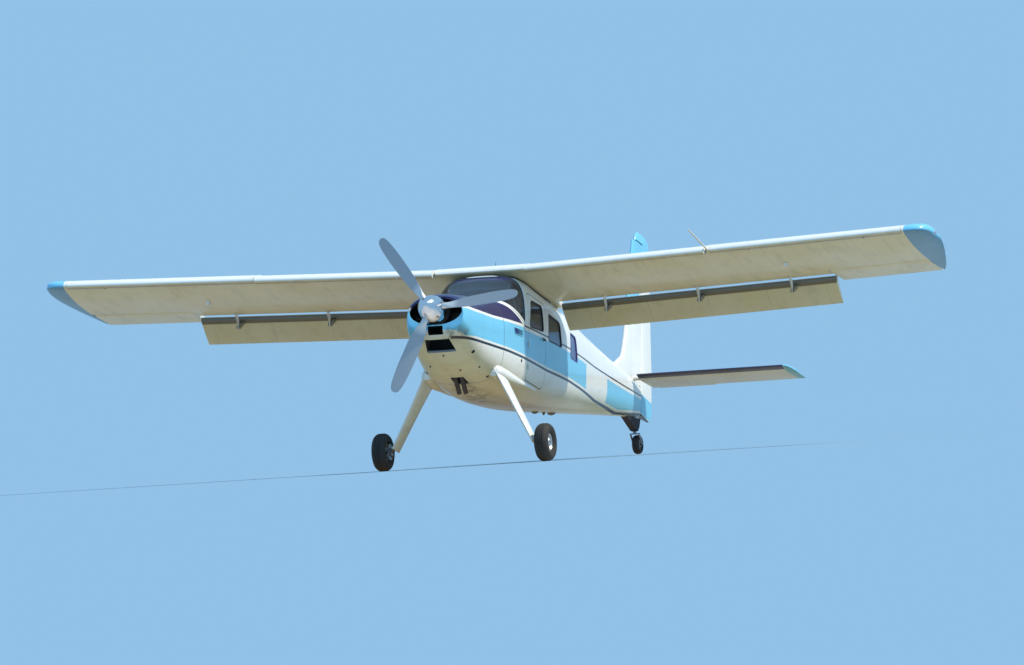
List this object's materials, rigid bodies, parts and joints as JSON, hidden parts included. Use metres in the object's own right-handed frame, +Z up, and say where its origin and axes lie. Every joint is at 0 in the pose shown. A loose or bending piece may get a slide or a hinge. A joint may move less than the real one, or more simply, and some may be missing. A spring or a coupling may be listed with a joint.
{
  "type": "single-engine high-wing light utility aircraft",
  "caption": "High cantilever wing light aircraft on tailwheel gear, with slats, slotted flaps, all-moving tailplane, propeller and a hollow cabin.",
  "frame": {"origin": "on the ground under the middle of the whole aircraft's box, as it stands on its three wheels", "axes": "+X to the aircraft's port side, along the span, -Y towards the nose, +Z up from the ground"},
  "size_m": [11.9508, 9.6596, 2.9651],
  "materials": {
    "white_paint": "gloss enamel, lightly weathered",
    "sky_blue_paint": "gloss enamel",
    "cast_metal": "matt, oily",
    "bare_metal": "satin",
    "scorched_steel": "heat-darkened",
    "clear_glazing": "clear acrylic",
    "cabin_lining": "matt",
    "black_crackle": "matt crackle",
    "seat_cloth": "woven",
    "tyre_rubber": "dusty black",
    "blade_metal": "satin",
    "polished_metal": "polished",
    "black_rubberised": "matt black"
  },
  "bodies": {
    "airframe": {"nose_bowl": "sky_blue_paint", "upper_cowl": "sky_blue_paint", "lower_cowl": "white_paint", "engine": "cast_metal", "firewall": "bare_metal", "exhaust_stacks": "scorched_steel", "cabin_side_port": "white_paint", "cabin_side_starboard": "white_paint", "cabin_belly": "white_paint", "wing_centre": "white_paint", "windscreen": "clear_glazing", "middle_window_port": "clear_glazing", "rear_window_port": "clear_glazing", "front_window_starboard": "clear_glazing", "rear_window_starboard": "clear_glazing", "rear_bulkhead": "cabin_lining", "cabin_floor": "cabin_lining", "instrument_panel": "black_crackle", "front_seat_port": "seat_cloth", "front_seat_starboard": "seat_cloth", "middle_bench": "seat_cloth", "rear_bench": "seat_cloth", "windscreen_tubes": "cabin_lining", "rear_body": "white_paint", "fin": "white_paint", "wing_port": "white_paint", "wing_tip_port": "sky_blue_paint", "wing_starboard": "white_paint", "wing_tip_starboard": "sky_blue_paint", "gear_leg_port": "white_paint", "gear_fairing_port": "white_paint", "axle_port": "bare_metal", "gear_leg_starboard": "white_paint", "gear_fairing_starboard": "white_paint", "axle_starboard": "bare_metal", "tail_gear_mount": "black_rubberised", "pitot_boom": "white_paint"},
    "propeller_and_spinner": {"propeller": "blade_metal", "spinner": "polished_metal"},
    "main_wheel_port": {"main_tyre_port": "tyre_rubber", "main_hub_port": "bare_metal"},
    "main_wheel_starboard": {"main_tyre_starboard": "tyre_rubber", "main_hub_starboard": "bare_metal"},
    "tail_wheel_fork": {"tail_fork": "bare_metal"},
    "tail_wheel": {"tail_tyre": "tyre_rubber", "tail_hub": "bare_metal"},
    "port_flap": {"flap_port": "white_paint"},
    "starboard_flap": {"flap_starboard": "white_paint"},
    "port_aileron": {"aileron_port": "white_paint"},
    "starboard_aileron": {"aileron_starboard": "white_paint"},
    "port_inboard_slat": {"slat_inboard_port": "white_paint"},
    "port_outboard_slat": {"slat_outboard_port": "white_paint"},
    "starboard_inboard_slat": {"slat_inboard_starboard": "white_paint"},
    "starboard_outboard_slat": {"slat_outboard_starboard": "white_paint"},
    "rudder_assembly": {"rudder": "white_paint"},
    "tailplane": {"stabilator": "white_paint"},
    "port_door": {"door_port": "white_paint", "door_window_port": "clear_glazing"},
    "starboard_door": {"door_starboard": "white_paint", "door_window_starboard": "clear_glazing"}
  },
  "joints": [
    {"name": "propeller_spin", "type": "hinge", "parent": "airframe", "child": "propeller_and_spinner", "pos_m": [0, -4.55962, 2.03581], "axis": [0, 0.9687, -0.2482], "continuous": true},
    {"name": "wheel_spin_port", "type": "hinge", "parent": "airframe", "child": "main_wheel_port", "pos_m": [1.09, -3.54826, 0.24167], "axis": [1, 0, 0], "continuous": true},
    {"name": "wheel_spin_starboard", "type": "hinge", "parent": "airframe", "child": "main_wheel_starboard", "pos_m": [-1.09, -3.54826, 0.24167], "axis": [1, 0, 0], "continuous": true},
    {"name": "tail_wheel_swivel", "type": "hinge", "parent": "airframe", "child": "tail_wheel_fork", "pos_m": [0, 3.72904, 0.28736], "axis": [0, 0, 1], "continuous": true},
    {"name": "tail_wheel_spin", "type": "hinge", "parent": "tail_wheel_fork", "child": "tail_wheel", "pos_m": [0, 3.82404, 0.12736], "axis": [1, 0, 0], "continuous": true},
    {"name": "flap_port_hinge", "type": "hinge", "parent": "airframe", "child": "port_flap", "pos_m": [0.61, -1.11951, 1.8646], "axis": [0.9994, 0.0087, 0.0338], "range_deg": [-2, 38]},
    {"name": "flap_starboard_hinge", "type": "hinge", "parent": "airframe", "child": "starboard_flap", "pos_m": [-0.61, -1.11951, 1.8646], "axis": [0.9994, -0.0087, -0.0338], "range_deg": [-2, 38]},
    {"name": "aileron_port_hinge", "type": "hinge", "parent": "airframe", "child": "port_aileron", "pos_m": [4.312, -1.21879, 2.26441], "axis": [0.9994, 0.0087, 0.0338], "range_deg": [-20, 20]},
    {"name": "aileron_starboard_hinge", "type": "hinge", "parent": "airframe", "child": "starboard_aileron", "pos_m": [-4.312, -1.21879, 2.26441], "axis": [0.9994, -0.0087, -0.0338], "range_deg": [-20, 20]},
    {"name": "slat_inboard_port_slide", "type": "slide", "parent": "airframe", "child": "port_inboard_slat", "axis": [0, -0.9973, -0.0738], "range_m": [-0.11, 0.02]},
    {"name": "slat_inboard_starboard_slide", "type": "slide", "parent": "airframe", "child": "starboard_inboard_slat", "axis": [0, -0.9973, -0.0738], "range_m": [-0.11, 0.02]},
    {"name": "slat_outboard_port_slide", "type": "slide", "parent": "airframe", "child": "port_outboard_slat", "axis": [0, -0.9973, -0.0738], "range_m": [-0.006, 0.124]},
    {"name": "slat_outboard_starboard_slide", "type": "slide", "parent": "airframe", "child": "starboard_outboard_slat", "axis": [0, -0.9973, -0.0738], "range_m": [-0.006, 0.124]},
    {"name": "rudder_hinge", "type": "hinge", "parent": "airframe", "child": "rudder_assembly", "pos_m": [0, 4.2368, 1.61754], "axis": [0, 0.2482, 0.9687], "range_deg": [-25, 25]},
    {"name": "tailplane_pivot", "type": "hinge", "parent": "airframe", "child": "tailplane", "pos_m": [0, 3.68503, 0.99501], "axis": [1, 0, 0], "range_deg": [-10, 18]},
    {"name": "door_port_hinge", "type": "hinge", "parent": "airframe", "child": "port_door", "pos_m": [0.6, -2.42187, 1.62024], "axis": [0, -0.2482, -0.9687], "range_deg": [0, 70]},
    {"name": "door_starboard_hinge", "type": "hinge", "parent": "airframe", "child": "starboard_door", "pos_m": [-0.598, -1.68081, 1.43038], "axis": [0, 0.2482, 0.9687], "range_deg": [0, 70]}
  ],
  "couplings": [
    {"joint": "flap_starboard_hinge", "follows": "flap_port_hinge", "ratio": 1},
    {"joint": "aileron_starboard_hinge", "follows": "aileron_port_hinge", "ratio": -1}
  ]
}
